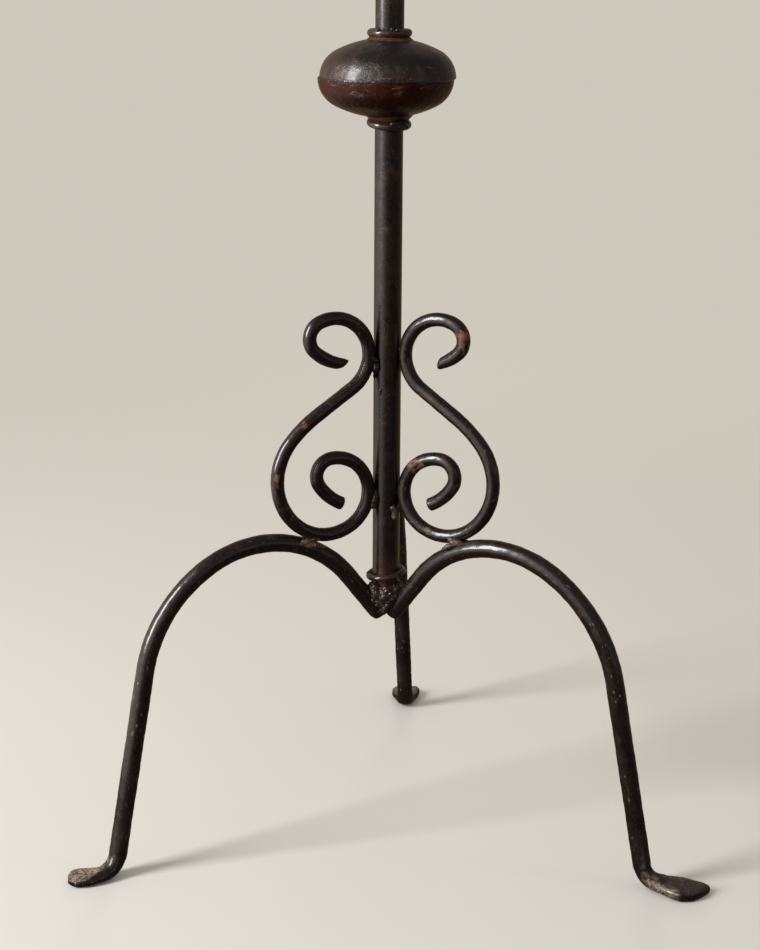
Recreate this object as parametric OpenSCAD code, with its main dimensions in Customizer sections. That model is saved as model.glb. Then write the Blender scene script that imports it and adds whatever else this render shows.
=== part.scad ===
// Floor candelabrum of round wrought-iron bar.
// A tube stem stands on three arched legs, each with a scroll in its corner.
// A crown of three scroll arms and a middle light drops into the top of the stem.
// Origin: on the stem's axis at floor level. X to the right, Y to the back, Z up.

/* [Stem] */
// Outer diameter of the stem tube
stem_d = 21.3; // [20:0.1:23]
// Inner diameter of the stem tube
stem_bore = 16; // [14:0.1:17]
// Height of the stem tube's open top end
stem_top = 1330; // [1200:10:1400]

/* [Legs] */
// Diameter of the leg bar
leg_d = 14; // [12.5:0.5:14.5]
// Direction of the left leg round the stem
left_at = 205; // [203:0.5:207]
// Direction of the right leg round the stem
right_at = 328; // [326.5:0.5:330]
// Direction of the back leg round the stem
back_at = 87; // [85.5:0.5:88.5]
// Sideways lean of the left leg, as it was set by hand
left_lean = 1.5; // [-2.5:0.5:2.5]
// Sideways lean of the right leg
right_lean = 1.5; // [-2.5:0.5:2.5]
// Sideways lean of the back leg
back_lean = -2.2; // [-2.5:0.1:2.5]
// Height of the bar's middle where the three legs meet
hub_z = 180.3; // [176:0.1:185]
// Slope at which a leg leaves the hub
leg_rise = 52.5; // [51:0.1:54]
// Straight length between the hub and the arch
leg_reach = 45.5; // [43:0.5:49]
// Radius of the bend over the arch
arch_r = 88.4; // [86:0.1:90]
// Turn of the bend over the arch
arch_turn = 82.2; // [80:0.1:84]
// Radius of the easier bend that follows it
haunch_r = 112.6; // [110:0.1:115]
// Turn of the easier bend
haunch_turn = 49.6; // [48:0.1:51]

/* [Feet] */
// Radius of the bend at the heel
heel_r = 14; // [12:0.5:16]
// Width of the hammered pad
pad_w = 27; // [22:1:30]
// Length of the pad from the end of the heel bend to its tip
pad_l = 30; // [28:1:34]
// Thickness of the pad near its tip
pad_t = 5; // [4:0.5:6]

/* [Scrolls] */
// Diameter of the scroll and arm bar
scroll_d = 10.5; // [10:0.1:11]
// Turn of each scroll from its leg's direction
scroll_off = 2; // [1:0.5:3]
// Radius of the loose end of each curl
tail_r = 45.9; // [45:0.1:47]
// Radius of the tight turn of each curl
nose_r = 13.4; // [13:0.1:14]
// Radius of the round back of each curl
curl_r = 30.1; // [30:0.1:31]
// Straight length between the upper curl and the bowl
neck_l = 34.8; // [34:0.1:36]
// Radius of the slight bend above the bowl
flank_r = 102.6; // [100:0.1:105]
// Radius of the bowl's side
bowl_r = 47.3; // [47:0.1:48]
// Radius of the bowl's bottom
sole_r = 38.6; // [38:0.1:39]

/* [Knops] */
// Height of the lower knop's middle
knop_z = 600; // [560:5:700]
// Distance of the upper knop's middle below the stem's open top end
top_knop_drop = 55; // [50:5:180]
// Radius of the knop at its seam
knop_r = 50.7; // [45:0.1:55]
// Radius of the knop's shoulder
shoulder_r = 22.5; // [20:0.5:24]
// Distance from the seam to the pole of the crown curve
knop_h = 29.2; // [28.5:0.1:30]
// Distance of the knop's upper half to the left of the stem's axis
cap_off = 1.2; // [0:0.1:2]
// Distance of its lower half to the left of the stem's axis
bowl_off = 2.6; // [0:0.1:3]
// Thickness of the knop's pressed sheet
sheet = 2; // [1.5:0.1:2.5]
// Diameter of the ring wire above and below a knop
ring_d = 6; // [5:0.5:6.5]
// Tilt of the ring under each knop
ring_tilt = 7; // [0:1:8]

/* [Foot ring] */
// Diameter of the wire round the foot of the stem
foot_wire = 5; // [4:0.5:5.5]
// Height of the foot ring's middle
foot_ring_z = 213.5; // [212:0.1:216]
// Tilt of the foot ring
foot_ring_tilt = 9; // [0:1:10]
// Opening between its two ends
foot_ring_gap = 16; // [10:2:30]

/* [Crown] */
// Height of the crown post
post_l = 172; // [165:1:180]
// Diameter of the plug that turns in the stem
plug_d = 15.9; // [13.9:0.1:16.9]
// Length of the plug inside the stem
plug_in = 60; // [40:5:80]
// Turn of the crown's arms from even thirds
crown_turn = -3; // [-5:1:5]
// Height of the bottom of the arm's curl over the stem's top
arm_sole = 26; // [24:1:30]
// Straight run of each arm
arm_run = 58; // [50:1:70]
// Radius of each arm's last bend
arm_bend = 95; // [85:1:100]
// Straight end of each arm under its pan
arm_up = 14; // [12:1:20]

/* [Pans and cups] */
// Diameter of a drip pan
pan_d = 84; // [70:1:90]
// Thickness of a pan's sheet
pan_t = 1.2; // [1:0.1:1.6]
// Height of a pan's lip
lip_h = 3.6; // [2:0.1:4]
// Bore of a candle cup
cup_bore = 22.5; // [21:0.1:25]
// Wall of a candle cup
cup_wall = 2; // [1.5:0.1:2.5]
// Depth of a candle cup's bore
cup_deep = 26; // [20:1:30]
// Thickness of a candle cup's floor
cup_floor = 5; // [4.5:0.1:6]
// Diameter of the screws that hold pans and cups
screw_d = 6; // [4:0.5:6]

/* [Hidden] */
$fn = 64;

iron = [0.16, 0.14, 0.13];
iron_worn = [0.24, 0.18, 0.15];
weld = [0.20, 0.15, 0.12];
varnish = [0.25, 0.08, 0.05];
dark_cap = [0.20, 0.19, 0.17];

// Clearance of a running fit, on the radius
run_gap = 0.05;
// Gap left between two pieces that only touch
touch_gap = 0.1;
// Gap round a lump of weld, wide enough to part it where two bars meet
weld_gap = 0.08;
// Gap between two bends of a bar, and the thin sleeve that closes it
joint_gap = 0.1;
sleeve_l = 1;
sleeve_proud = 0.03;
// Height under the floor at which the feet are cut flat
floor_cut = 2;

stem_r = stem_d / 2;
leg_r = leg_d / 2;
scroll_r = scroll_d / 2;

// Distance of the bar's middle from the axis at the leg's cut end
hub_r = 5.6;
// Half of the wedge that each leg's cut end fills
hub_wedge = 58.5;
// Slope of the leg between the arch and the heel
shin_fall = arch_turn + haunch_turn - leg_rise;
// Height of the leg bar's middle at the top end of the shin
shin_top = hub_z + leg_reach * sin(leg_rise)
    + arch_r * (cos(leg_rise - arch_turn) - cos(leg_rise))
    + haunch_r * (cos(shin_fall) - cos(leg_rise - arch_turn));
// The heel's bar sinks this far below the floor and is worn flat there
heel_wear = 0.4;
shin_l = (shin_top - heel_r * (1 - cos(shin_fall)) - leg_r + heel_wear) / sin(shin_fall);
// Distance of the end of the heel bend from the axis
heel_end = hub_r + leg_reach * cos(leg_rise)
    + arch_r * (sin(leg_rise) + sin(arch_turn - leg_rise))
    + haunch_r * (sin(shin_fall) - sin(arch_turn - leg_rise))
    + shin_l * cos(shin_fall) + heel_r * sin(shin_fall);
leg_path = [[0, leg_reach], [arch_r, -arch_turn], [haunch_r, -haunch_turn],
    [0, shin_l], [heel_r, shin_fall]];
// Height about which the legs lean
lean_z = 215;

// The stem stands on the legs' upper sides
stem_foot = hub_z + (stem_r - hub_r) * tan(leg_rise) + leg_r / cos(leg_rise) + touch_gap;

scroll_path = [[tail_r, 31.1], [nose_r, 115.5], [curl_r, 170.5], [0, neck_l],
    [flank_r, -15.7], [bowl_r, -107.1], [sole_r, -51.3], [curl_r, -157.4],
    [nose_r, -119.5], [tail_r, -31.7]];
// The two curls stand one above the other, so that both lean on the stem
curls_apart = bend_centre(scroll_path, 2) - bend_centre(scroll_path, 7);
tip_rise = 90 - atan2(curls_apart[1], curls_apart[0]);
curl_middle = turned(bend_centre(scroll_path, 2), tip_rise);
// Distance of a curl's middle from the stem's axis
curl_at = stem_r + touch_gap + scroll_r + curl_r;
// The sole of the scroll rests on the leg's arch, which sets the scroll's height
arch_middle = [hub_r, hub_z] + turned(bend_centre(leg_path, 1), leg_rise);
sole_from_curl = turned(bend_centre(scroll_path, 6), tip_rise) - curl_middle;
sole_x = curl_at + sole_from_curl[0];
sole_reach = arch_r + leg_r + touch_gap + scroll_r + sole_r;
sole_z = arch_middle[1] + sqrt(pow(sole_reach, 2) - pow(arch_middle[0] - sole_x, 2));
sole_middle = [sole_x, sole_z];
upper_touch_z = sole_z - sole_from_curl[1];
lower_touch_z = upper_touch_z - norm(curls_apart);
tip_at = [curl_at, upper_touch_z] - curl_middle;
// Where the sole meets the leg
sole_way = (sole_middle - arch_middle) / norm(sole_middle - arch_middle);
sole_touch = arch_middle + (arch_r + leg_r) * sole_way;

// Centre of the shoulder's circle, and how far the crown curve's centre lies past the seam
shoulder_c = knop_r - shoulder_r;
crown_c = (pow(shoulder_c, 2) - pow(knop_h - shoulder_r, 2)) / (2 * (knop_h - shoulder_r));
crown_r = knop_h + crown_c;
// Heights of the rings from the knop's middle
ring_up = 32.6;
ring_down = 33.2;
collar_r = 18.6;
collar_neck_r = 13.6;

arm_at = [210, 330, 90];
// Slope at which the arm's curl starts at its tip, and slope of the arm's straight run
arm_start = 25;
arm_rise = 25;
arm_path = [[tail_r, 31.7], [nose_r, 119.5], [curl_r, 157.4], [sole_r, 51.4],
    [0, arm_run], [arm_bend, 90 - arm_rise], [0, arm_up]];
arm_touch_z = stem_top + arm_sole + sole_r
    + turned(bend_centre(arm_path, 2) - bend_centre(arm_path, 3), arm_start)[1];
arm_tip = [curl_at, arm_touch_z] - turned(bend_centre(arm_path, 2), arm_start);
arm_end = arm_tip + turned(path_end(arm_path, len(arm_path)), arm_start);
post_foot = stem_top + touch_gap;
post_top = post_foot + post_l;
pin_z = post_foot + 20;
pin_d = 5;
cup_h = cup_floor + cup_deep;
// Length of the screws that hold pans and cups
screw_l = 18;

// A plane vector turned by an angle
function turned(v, a) = [v[0] * cos(a) - v[1] * sin(a), v[0] * sin(a) + v[1] * cos(a)];
// Heading after the first n pieces of a path of bends [radius, turn] and straights [0, length]
function heading(path, n) = n == 0 ? 0 :
    heading(path, n - 1) + (path[n - 1][0] == 0 ? 0 : path[n - 1][1]);
// Middle of bend k, for a path that starts at the origin along +X
function bend_centre(path, k) = path_end(path, k)
    + sign(path[k][1]) * path[k][0] * turned([0, 1], heading(path, k));
// End of the first n pieces of the path
function path_end(path, n) = n == 0 ? [0, 0] :
    path[n - 1][0] == 0
    ? path_end(path, n - 1) + path[n - 1][1] * turned([1, 0], heading(path, n - 1))
    : bend_centre(path, n - 1)
        - sign(path[n - 1][1]) * path[n - 1][0] * turned([0, 1], heading(path, n));

// One bend to the left of a round bar, shorter by an angle at either end
module bend(d, r, turn, short_in, short_out) {
    translate([0, r, 0])
        rotate([0, 0, short_in - 90])
            rotate_extrude(angle = turn - short_in - short_out)
                translate([r, 0])
                    circle(d = d);
}

// A round bar along a path of bends and straights, in the XY plane.
// Each joint is a short sleeve, a hair thicker than the bar, over a hair-wide gap.
module bar(d, path, i = 0) {
    if (i < len(path)) {
        r = path[i][0];
        a = path[i][1];
        cut_in = i == 0 ? 0 : joint_gap / 2;
        cut_out = i == len(path) - 1 ? 0 : joint_gap / 2;
        if (i > 0)
            rotate([0, 90, 0])
                cylinder(d = d + 2 * sleeve_proud, h = sleeve_l, center = true);
        if (r == 0) {
            translate([cut_in, 0, 0])
                rotate([0, 90, 0])
                    cylinder(d = d, h = a - cut_in - cut_out);
            translate([a, 0, 0]) bar(d, path, i + 1);
        } else {
            mirror([0, a < 0 ? 1 : 0, 0])
                bend(d, r, abs(a), cut_in / r * 180 / PI, cut_out / r * 180 / PI);
            translate([r * sin(abs(a)), sign(a) * r * (1 - cos(a)), 0])
                rotate([0, 0, a])
                    bar(d, path, i + 1);
        }
    }
}

// The same bar stood upright in the XZ plane from a point at a slope
module upright_bar(d, at, slope, path) {
    translate([at[0], 0, at[1]])
        rotate([90, 0, 0])
            rotate([0, 0, slope])
                bar(d, path);
}

// Outline of a pad from above, from the heel to the round tip
module pad_outline() {
    tip = heel_end + pad_l - pad_w / 2;
    translate([tip, 0]) circle(d = pad_w);
    polygon([[heel_end - 9, -leg_r + 0.6], [heel_end - 9, leg_r - 0.6],
        [tip - 1, pad_w / 2 - 0.05], [tip - 1, -pad_w / 2 + 0.05]]);
}

// The hammered pad: thick at the heel, thin at the tip
module pad() {
    intersection() {
        translate([0, 0, -floor_cut]) linear_extrude(20) pad_outline();
        translate([0, pad_w, 0])
            rotate([90, 0, 0])
                linear_extrude(pad_w * 2)
                    polygon([[heel_end - 12, -floor_cut], [heel_end + pad_l + 2, -floor_cut],
                        [heel_end + pad_l + 2, pad_t - 0.8], [heel_end + 12, pad_t],
                        [heel_end + 1, pad_t + 3.5], [heel_end - 12, pad_t + 11]]);
    }
}

// Turns a leg to its place round the stem and leans it sideways
module leaned(at, lean) {
    rotate([0, 0, at])
        translate([0, 0, lean_z])
            rotate([lean, 0, 0])
                translate([0, 0, -lean_z])
                    children();
}

// Takes away what lies past a leg's third of the hub
module hub_cuts(at) {
    for (side = [-1, 1])
        rotate([0, 0, at])
            mirror([0, side < 0 ? 1 : 0, 0])
                rotate([0, 0, hub_wedge])
                    translate([-leg_d * 2, 0, hub_z - leg_d * 2])
                        cube([leg_d * 5, leg_d * 2, leg_d * 4]);
}

// One leg with its pad, leaned as it was set and worn flat on the floor
module leg(at, lean) {
    under = heel_end + pad_l + pad_w;
    color(iron)
        difference() {
            leaned(at, lean) {
                upright_bar(leg_d, [hub_r, hub_z], leg_rise, leg_path);
                pad();
            }
            hub_cuts(at);
            translate([-under, -under, -leg_d * 2])
                cube([under * 2, under * 2, leg_d * 2]);
        }
}

// One scroll bar, with its upper tip cut on the slant
module scroll_bar() {
    difference() {
        upright_bar(scroll_d, tip_at, tip_rise, scroll_path);
        translate([tip_at[0], 0, tip_at[1]])
            rotate([0, 38 - tip_rise, 0])
                translate([-scroll_d * 2, -scroll_d, -scroll_d])
                    cube(scroll_d * 2);
    }
}

module scroll(at) {
    color(iron) rotate([0, 0, at + scroll_off]) scroll_bar();
}

module stem_tube() {
    color(iron)
        difference() {
            translate([0, 0, stem_foot]) cylinder(d = stem_d, h = stem_top - stem_foot);
            translate([0, 0, stem_foot - 1])
                cylinder(d = stem_bore, h = stem_top - stem_foot + 2);
        }
}

module leg_left() { leg(left_at, left_lean); }
module leg_right() { leg(right_at, right_lean); }
module leg_back() { leg(back_at, back_lean); }

// The straight start of one leg, with a hair of clearance
module hub_stub(at, lean) {
    leaned(at, lean)
        translate([hub_r, 0, hub_z])
            rotate([0, 90 - leg_rise, 0])
                cylinder(d = leg_d + 2 * weld_gap, h = leg_reach - leg_r);
}

// The lump of weld in the corner of the three legs, under and round the stem's foot
module hub_weld() {
    inner = stem_r + run_gap;
    // It reaches up to just under the foot ring's lowest side
    top = foot_ring_z - foot_wire / 2 - (stem_r + foot_wire) * sin(foot_ring_tilt) - 1;
    color(weld)
        difference() {
            rotate_extrude()
                polygon([[0, hub_z - 1.5], [7, hub_z - 1.5], [11.3, hub_z + 4],
                    [12.2, stem_foot - 2], [12.8, stem_foot + 2], [12.2, top],
                    [inner, top], [inner, stem_foot - run_gap],
                    [0, stem_foot - run_gap]]);
            hub_stub(left_at, left_lean);
            hub_stub(right_at, right_lean);
            hub_stub(back_at, back_lean);
        }
}

// The open wire ring at the stem's foot
module foot_ring() {
    ring_r = (stem_r + foot_wire / 2 + touch_gap) / cos(foot_ring_tilt);
    color(iron)
        translate([0, 0, foot_ring_z])
            rotate([0, -foot_ring_tilt, 0])
                rotate([0, 0, 180 + foot_ring_gap / 2])
                    rotate_extrude(angle = 360 - foot_ring_gap)
                        translate([ring_r, 0])
                            circle(d = foot_wire);
}

module scroll_left() { scroll(left_at); }
module scroll_right() { scroll(right_at); }
module scroll_back() { scroll(back_at); }

// A bead of weld against the stem, before the two pieces that it joins are taken out of it
module bead(at, z, d, h) {
    rotate([0, 0, at])
        translate([stem_r + 1, 0, z])
            cylinder(d = d, h = h, center = true);
}

// A whole ring of bar that a bend lies on, with a hair of clearance
module bend_ring(middle, r, d) {
    translate([middle[0], 0, middle[1]])
        rotate([90, 0, 0])
            rotate_extrude()
                translate([r, 0])
                    circle(d = d + 2 * weld_gap);
}

// The weld between one curl and the stem, filling the corner on either side
module curl_weld(at, z) {
    difference() {
        bead(at, z - 2, 8, 12);
        translate([0, 0, z - 20]) cylinder(d = stem_d + 2 * weld_gap, h = 40);
        rotate([0, 0, at]) bend_ring([curl_at, z], curl_r, scroll_d);
    }
}

// Welds between the scrolls' two curls and the stem
module scroll_stem_welds() {
    color(weld)
        for (at = [left_at, right_at, back_at], z = [upper_touch_z, lower_touch_z])
            curl_weld(at + scroll_off, z, $fn = 160);
}

// Puts what is drawn along X and Z at the sole's touch, X along the line between the bends
module at_sole() {
    translate([sole_touch[0], 0, sole_touch[1]])
        rotate([0, -atan2(sole_way[1], sole_way[0]), 0])
            children();
}

// The weld between one scroll's sole and its leg
module sole_weld(at, lean) {
    difference() {
        rotate([0, 0, at + scroll_off / 2])
            at_sole()
                rotate([0, 90, 0])
                    cylinder(r1 = 5.2, r2 = 4.6, h = 8, center = true);
        rotate([0, 0, at + scroll_off])
            at_sole()
                translate([scroll_r + touch_gap, 0, 0])
                    cylinder(d = scroll_d + 2 * weld_gap, h = 30, center = true);
        leaned(at, lean)
            at_sole()
                translate([-leg_r, 0, 0])
                    cylinder(d = leg_d + 2 * weld_gap, h = 30, center = true);
    }
}

// Welds between the scrolls' soles and the legs
module scroll_leg_welds() {
    color(weld) {
        sole_weld(left_at, left_lean, $fn = 160);
        sole_weld(right_at, right_lean, $fn = 160);
        sole_weld(back_at, back_lean, $fn = 160);
    }
}

// Half of the knop's section above its seam, drawn in from its outer face by an inset
module knop_face(inset) {
    intersection() {
        translate([0, -crown_c]) circle(r = crown_r - inset, $fn = 200);
        polygon([[0, 0], [shoulder_c, 0],
            [shoulder_c * (crown_c + 40) / crown_c, 40], [0, 40]]);
    }
    intersection() {
        translate([shoulder_c, 0]) circle(r = shoulder_r - inset, $fn = 100);
        square([knop_r + 5, 40]);
    }
}

// The space inside one half of a knop's outer face, moved to where the half sits
module knop_body(inset, off) {
    translate([-off, 0, 0])
        rotate_extrude($fn = 96)
            knop_face(inset);
}

// One pressed half of a knop, open where the stem passes through
module knop_shell(off) {
    difference() {
        translate([-off, 0, 0])
            rotate_extrude($fn = 96)
                difference() {
                    knop_face(0);
                    knop_face(sheet);
                }
        cylinder(r = stem_r + touch_gap, h = knop_h * 2);
    }
}

// The raised bead of weld round a knop's seam, between its two halves' edges
module seam_bead() {
    difference() {
        translate([-(cap_off + bowl_off) / 2, 0, 0])
            rotate_extrude($fn = 96)
                translate([knop_r - 0.5, 0])
                    circle(r = 1.9);
        knop_body(-run_gap, cap_off);
        mirror([0, 0, 1]) knop_body(-run_gap, bowl_off);
    }
}

// A closed wire ring round the stem, tilted towards the right front, and grown by a clearance
module wire_ring(tilt, grow = 0) {
    ring_r = (stem_r + ring_d / 2 + run_gap) / cos(tilt);
    rotate([0, 0, -60])
        rotate([0, tilt, 0])
            rotate_extrude()
                translate([ring_r, 0])
                    circle(d = ring_d + 2 * grow);
}

// The flared weld between a knop and the ring above it
module collar(ring_h, tilt, off) {
    difference() {
        rotate_extrude()
            polygon([[stem_r + touch_gap, knop_h - 6], [collar_r, knop_h - 6],
                [collar_r, knop_h - 2.8], [collar_neck_r, ring_h - 1.6],
                [stem_r + touch_gap, ring_h - 1.6]]);
        translate([-off, 0, -crown_c]) sphere(r = crown_r + run_gap, $fn = 200);
        translate([0, 0, ring_h]) wire_ring(tilt, run_gap);
    }
}

module knop_cap() { color(dark_cap) translate([0, 0, knop_z]) knop_shell(cap_off); }
module knop_bowl() {
    color(varnish)
        translate([0, 0, knop_z])
            mirror([0, 0, 1])
                knop_shell(bowl_off);
}
module knop_seam() { color(weld) translate([0, 0, knop_z]) seam_bead(); }
module knop_collar_above() {
    color(weld) translate([0, 0, knop_z]) collar(ring_up, 0, cap_off);
}
module knop_collar_below() {
    color(weld)
        translate([0, 0, knop_z])
            mirror([0, 0, 1])
                collar(ring_down, -ring_tilt, bowl_off);
}
module knop_ring_above() { color(iron) translate([0, 0, knop_z + ring_up]) wire_ring(0); }
module knop_ring_below() {
    color(iron) translate([0, 0, knop_z - ring_down]) wire_ring(ring_tilt);
}

module lift_to_top() {
    translate([0, 0, stem_top - top_knop_drop - knop_z]) children();
}
module top_knop_cap() { lift_to_top() knop_cap(); }
module top_knop_bowl() { lift_to_top() knop_bowl(); }
module top_knop_seam() { lift_to_top() knop_seam(); }
module top_knop_collar_above() { lift_to_top() knop_collar_above(); }
module top_knop_collar_below() { lift_to_top() knop_collar_below(); }
module top_knop_ring_above() { lift_to_top() knop_ring_above(); }
module top_knop_ring_below() { lift_to_top() knop_ring_below(); }

// The hole and the pin that hold the plug in the crown post
module pin_run(d, l) {
    translate([0, 0, pin_z])
        rotate([0, 90, 0])
            cylinder(d = d, h = l, center = true);
}

module crown_post() {
    color(iron)
        difference() {
            translate([0, 0, post_foot]) cylinder(d = stem_d, h = post_l);
            translate([0, 0, post_foot - 1]) cylinder(d = stem_bore, h = post_l + 2);
            pin_run(pin_d + 2 * run_gap, stem_d * 2);
        }
}

// The solid plug that turns in the stem and carries the crown post
module crown_plug() {
    color(iron_worn)
        difference() {
            translate([0, 0, stem_top - plug_in]) cylinder(d = plug_d, h = plug_in + 60);
            pin_run(pin_d + 2 * run_gap, stem_d * 2);
        }
}

module crown_pin() { color(iron_worn) pin_run(pin_d, stem_d - 0.4); }

module crown_ring() { color(iron) translate([0, 0, post_foot + 4]) wire_ring(0); }

// The fillet of weld that fixes the crown ring to the post
module crown_collar() {
    color(weld)
        translate([0, 0, post_foot + 4])
            rotate_extrude()
                difference() {
                    polygon([[stem_r + run_gap, 1.4], [stem_r + 2.2, 1.4],
                        [stem_r + run_gap, 4.6]]);
                    translate([stem_r + ring_d / 2 + run_gap, 0])
                        circle(d = ring_d + 2 * run_gap);
                }
}

// The plug in the top of the post that takes the middle screw
module crown_end_plug() {
    color(iron_worn)
        difference() {
            translate([0, 0, post_top - 24]) cylinder(d = plug_d, h = 24);
            translate([0, 0, post_top - 20]) cylinder(d = screw_d, h = 21);
        }
}

// One arm from its curl against the post to its drilled upper end
module arm(i) {
    color(iron)
        rotate([0, 0, arm_at[i] + crown_turn])
            difference() {
                upright_bar(scroll_d, arm_tip, arm_start, arm_path);
                translate([arm_end[0], 0, arm_end[1] - 20]) cylinder(d = screw_d, h = 21);
            }
}

module arm_left() { arm(0); }
module arm_right() { arm(1); }
module arm_back() { arm(2); }

// Welds between the arms' curls and the post
module arm_welds() {
    color(weld)
        for (a = arm_at) curl_weld(a + crown_turn, arm_touch_z, $fn = 160);
}

// Puts a pan, cup or screw on the end of arm i, or on the post for i = 3
module on_light(i) {
    if (i == 3) translate([0, 0, post_top]) children();
    else
        rotate([0, 0, arm_at[i] + crown_turn])
            translate([arm_end[0], 0, arm_end[1]])
                children();
}

// A spun drip pan with a rolled lip
module pan(i) {
    color(iron)
        on_light(i)
            rotate_extrude($fn = 96) {
                polygon([[screw_d / 2 + run_gap, 0], [pan_d / 2 - 10, 0],
                    [pan_d / 2 - 1, lip_h - pan_t], [pan_d / 2 - 1, lip_h],
                    [pan_d / 2 - 10.4, pan_t], [screw_d / 2 + run_gap, pan_t]]);
                translate([pan_d / 2 - 1.1, lip_h - 0.6]) circle(r = 1.1, $fn = 24);
            }
}

module pan_left() { pan(0); }
module pan_right() { pan(1); }
module pan_back() { pan(2); }
module pan_middle() { pan(3); }

// A turned candle cup with a flared foot and a beaded rim
module cup(i) {
    out = cup_bore / 2 + cup_wall;
    color(iron)
        on_light(i)
            translate([0, 0, pan_t])
                difference() {
                    rotate_extrude($fn = 96) {
                        polygon([[0, 0], [out + 2.5, 0], [out + 2.5, 1.2], [out, 4],
                            [out, cup_h], [0, cup_h]]);
                        translate([out - 0.2, cup_h - 1.6]) circle(r = 1.4, $fn = 24);
                    }
                    translate([0, 0, cup_floor]) cylinder(d = cup_bore, h = cup_deep + 1);
                    translate([0, 0, -1]) cylinder(d = screw_d + 2 * run_gap, h = cup_h);
                    translate([0, 0, cup_floor - 2.6])
                        cylinder(d1 = screw_d + 0.2, d2 = screw_d * 2, h = 2.61);
                }
}

module cup_left() { cup(0); }
module cup_right() { cup(1); }
module cup_back() { cup(2); }
module cup_middle() { cup(3); }

// The four countersunk screws through cups and pans
module cup_screws() {
    head_top = pan_t + cup_floor - 0.2;
    color(iron_worn)
        for (i = [0 : 3])
            on_light(i)
                difference() {
                    union() {
                        translate([0, 0, head_top - screw_l])
                            cylinder(d = screw_d - 2 * run_gap, h = screw_l);
                        translate([0, 0, head_top - 2.4])
                            cylinder(d1 = screw_d - 2 * run_gap, d2 = screw_d * 2 - 0.6, h = 2.4);
                    }
                    translate([-screw_d, -0.6, head_top - 1.2]) cube([screw_d * 2, 1.2, 2]);
                }
}

stem_tube();
leg_left();
leg_right();
leg_back();
hub_weld();
foot_ring();
scroll_left();
scroll_right();
scroll_back();
scroll_stem_welds();
scroll_leg_welds();
knop_cap();
knop_bowl();
knop_seam();
knop_collar_above();
knop_collar_below();
knop_ring_above();
knop_ring_below();
top_knop_cap();
top_knop_bowl();
top_knop_seam();
top_knop_collar_above();
top_knop_collar_below();
top_knop_ring_above();
top_knop_ring_below();
crown_post();
crown_plug();
crown_pin();
crown_ring();
crown_collar();
crown_end_plug();
arm_left();
arm_right();
arm_back();
arm_welds();
pan_left();
pan_right();
pan_back();
pan_middle();
cup_left();
cup_right();
cup_back();
cup_middle();
cup_screws();
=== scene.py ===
import math
import bmesh
import bpy
from mathutils import Matrix, Vector, noise


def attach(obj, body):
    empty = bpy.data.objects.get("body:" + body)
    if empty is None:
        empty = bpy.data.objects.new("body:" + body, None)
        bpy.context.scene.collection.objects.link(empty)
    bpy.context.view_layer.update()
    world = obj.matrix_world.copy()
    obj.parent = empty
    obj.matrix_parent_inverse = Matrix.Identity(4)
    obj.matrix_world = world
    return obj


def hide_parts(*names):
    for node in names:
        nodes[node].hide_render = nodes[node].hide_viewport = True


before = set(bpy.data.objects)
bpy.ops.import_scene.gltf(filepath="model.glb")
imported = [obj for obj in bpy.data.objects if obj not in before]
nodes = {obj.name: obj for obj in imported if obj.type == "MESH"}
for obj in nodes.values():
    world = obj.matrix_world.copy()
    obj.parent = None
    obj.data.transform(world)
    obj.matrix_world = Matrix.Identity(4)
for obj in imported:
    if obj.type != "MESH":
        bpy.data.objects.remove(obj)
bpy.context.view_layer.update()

# Lengths are in mm and angles in degrees, unless a line says otherwise. The frame is in metres.
MM = 0.001
LEG_R = 7         # the legs' bar
BAR_R = 5.25      # the scrolls' and the arms' bar
LEAN_FROM = 215   # the height about which a leg leans
KNOPS = (("", 600), ("top_", 1275))   # what stands in front of the names, and the seam's height
SCROLLS = (("left", 207, 1), ("right", 330, -1), ("back", 89, 1))   # direction, and front side
ARMS = (("left", 207), ("right", 327), ("back", 87))


def linked(name, data):
    """A new object in the scene."""
    o = bpy.data.objects.new(name, data)
    bpy.context.scene.collection.objects.link(o)
    return o


# ---------------------------------------------------------------- camera
SENSOR = 36
PHOTO_HEIGHT = 950                        # pixels
FOCAL = 1871.4                            # pixels, solved from the photograph
CAMERA_AT = (-0.005109, -1.4127, 0.697)   # metres
LOOKS_DOWN = 15.911
ROLL = 0.358

cam_data = bpy.data.cameras.new("camera")
cam_data.sensor_width = SENSOR
cam_data.lens = SENSOR * FOCAL / PHOTO_HEIGHT
cam_data.clip_start = 0.05
cam_data.clip_end = 100
camera = linked("camera", cam_data)
camera.matrix_world = (
    Matrix.Translation(CAMERA_AT)
    @ Matrix.Rotation(math.radians(90 - LOOKS_DOWN), 4, "X")
    @ Matrix.Rotation(math.radians(ROLL), 4, "Z")
)
bpy.context.scene.camera = camera


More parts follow.
